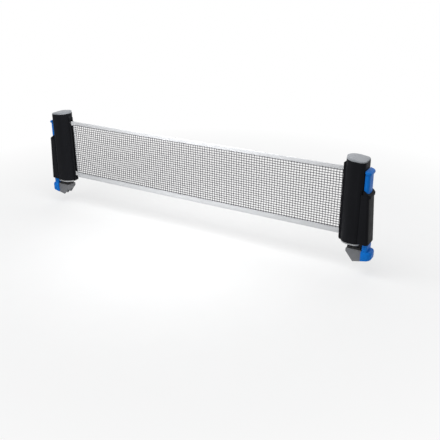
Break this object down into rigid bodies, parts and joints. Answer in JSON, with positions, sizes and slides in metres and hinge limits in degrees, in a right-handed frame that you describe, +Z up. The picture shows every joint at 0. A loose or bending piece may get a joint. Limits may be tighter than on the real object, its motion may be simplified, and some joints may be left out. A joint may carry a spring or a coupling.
{
  "type": "retractable table tennis net set",
  "caption": "Retractable table tennis net between two clamp posts: black housings, grey caps, blue squeeze triggers that open sprung jaws under the table edge.",
  "frame": {"origin": "the right post's roller axis, in the plane of the table top that the posts stand on", "axes": "+X along the net from the left post to the right one, +Y level across the table, +Z up"},
  "size_m": [0.8824, 0.0456, 0.2259],
  "materials": {
    "housing": "satin black moulding",
    "cap": "silver-grey moulding",
    "frame_plastic": "black moulding",
    "base_pad": "pale soft pad",
    "clamp_cover": "satin black moulding",
    "screws": "zinc-plated",
    "springs": "spring steel wire",
    "slider": "satin blue moulding",
    "jaw_arm": "grey moulding",
    "jaw_rubber": "black soft pad",
    "roller": "grey moulding",
    "bushes": "white moulding",
    "spindle": "drawn rod",
    "wound_net": "wound white net",
    "net_fittings": "white moulding",
    "net_cord": "dark knotless netting",
    "net_tape": "white woven tape"
  },
  "bodies": {
    "right_post": {"right_housing": "housing", "right_top_cap": "cap", "right_base_plate": "frame_plastic", "right_base_pad": "base_pad", "right_clamp_cover": "clamp_cover", "right_base_screw_front": "screws", "right_base_screw_back": "screws", "right_clamp_spring": "springs", "roller_spindle": "spindle", "roller_spring": "springs", "net_lead": "wound_net", "net_mesh": "net_cord", "net_top_tape": "net_tape", "net_bottom_tape": "net_tape"},
    "right_slider": {"right_slider": "slider", "right_jaw_arm": "jaw_arm", "right_jaw_pad": "jaw_rubber", "right_jaw_screw": "screws"},
    "left_post": {"left_housing": "housing", "left_top_cap": "cap", "left_base_plate": "frame_plastic", "left_base_pad": "base_pad", "left_clamp_cover": "clamp_cover", "left_base_screw_front": "screws", "left_base_screw_back": "screws", "left_clamp_spring": "springs", "net_end_bar": "net_fittings", "net_hook_upper": "net_fittings", "net_hook_lower": "net_fittings"},
    "left_slider": {"left_slider": "slider", "left_jaw_arm": "jaw_arm", "left_jaw_pad": "jaw_rubber", "left_jaw_screw": "screws"},
    "roller": {"net_roller": "roller", "roller_bush_lower": "bushes", "roller_bush_upper": "bushes", "wound_net": "wound_net"}
  },
  "joints": [
    {"name": "right_squeeze", "type": "slide", "parent": "right_post", "child": "right_slider", "axis": [0, 0, -1], "range_m": [0, 0.03], "stiffness_N_per_m": 800, "springref_m": -0.03, "deforming": ["right_clamp_spring"]},
    {"name": "left_squeeze", "type": "slide", "parent": "left_post", "child": "left_slider", "axis": [0, 0, -1], "range_m": [0, 0.03], "stiffness_N_per_m": 800, "springref_m": -0.03, "deforming": ["left_clamp_spring"]},
    {"name": "net_pull", "type": "slide", "parent": "right_post", "child": "left_post", "axis": [1, 0, 0], "range_m": [0, 0.72], "deforming": ["net_mesh", "net_top_tape", "net_bottom_tape"]},
    {"name": "roller_turn", "type": "hinge", "parent": "right_post", "child": "roller", "pos_m": [0, 0, 0], "axis": [0, 0, 1], "range_deg": [-2700, 0]}
  ],
  "couplings": [
    {"joint": "roller_turn", "follows": "net_pull", "rad_per_m": -64.9}
  ]
}
